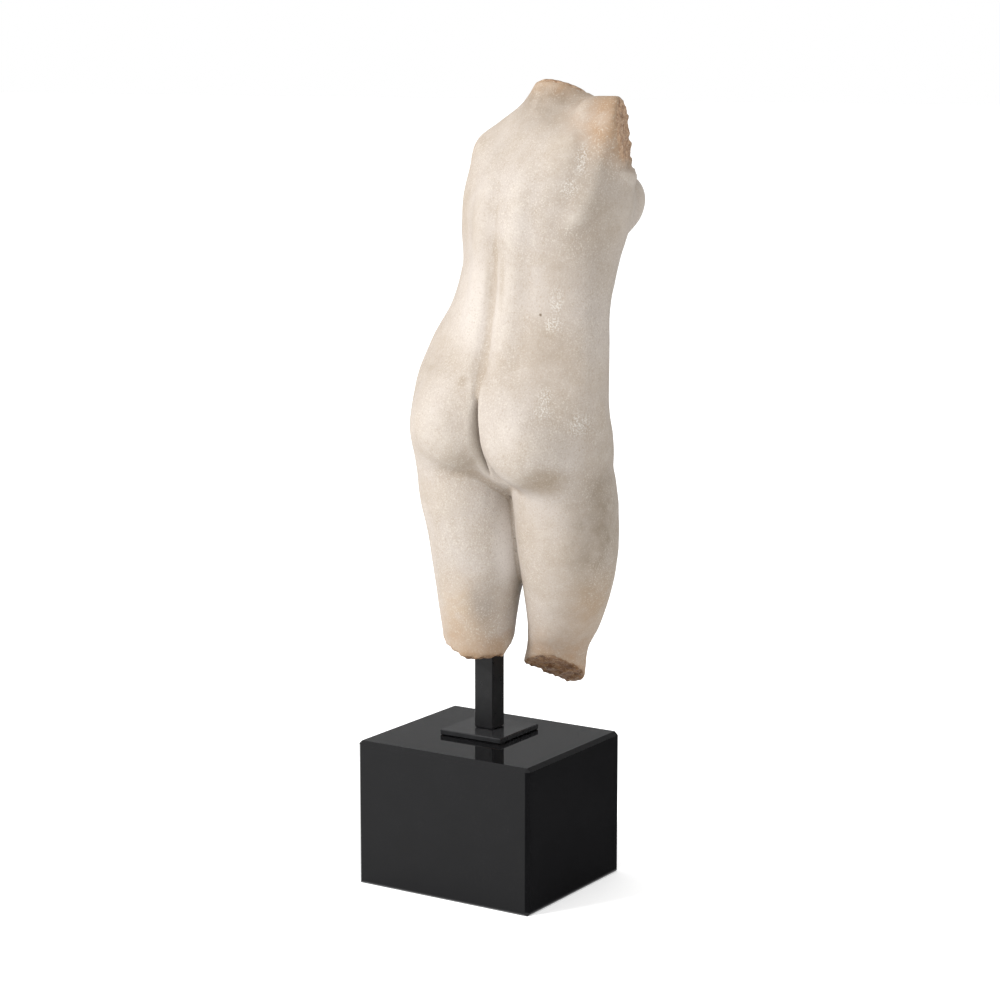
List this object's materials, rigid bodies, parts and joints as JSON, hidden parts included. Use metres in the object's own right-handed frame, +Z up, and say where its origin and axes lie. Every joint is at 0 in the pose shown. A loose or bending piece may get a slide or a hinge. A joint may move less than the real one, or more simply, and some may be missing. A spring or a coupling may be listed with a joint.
{
  "type": "goddess statue",
  "caption": "Headless, armless standing nude torso in cast stone, broken above the knees, on a square post over a polished black plinth.",
  "frame": {"origin": "centre of the plinth's underside, on the surface it stands on", "axes": "+Z up; the figure faces -Y, so its own right side is at -X; the plinth's width runs along X"},
  "size_m": [0.2244, 0.1891, 0.7328],
  "materials": {
    "cast_stone": "matte cream stone with a fine grain and a warm tan patina, browner on the broken ends",
    "polished_black_stone": "mirror polished black",
    "plate_black": "gloss black",
    "post_black": "satin black"
  },
  "bodies": {
    "root": {"torso": "cast_stone", "post": "post_black", "foot_plate": "plate_black", "plinth": "polished_black_stone"}
  },
  "joints": []
}
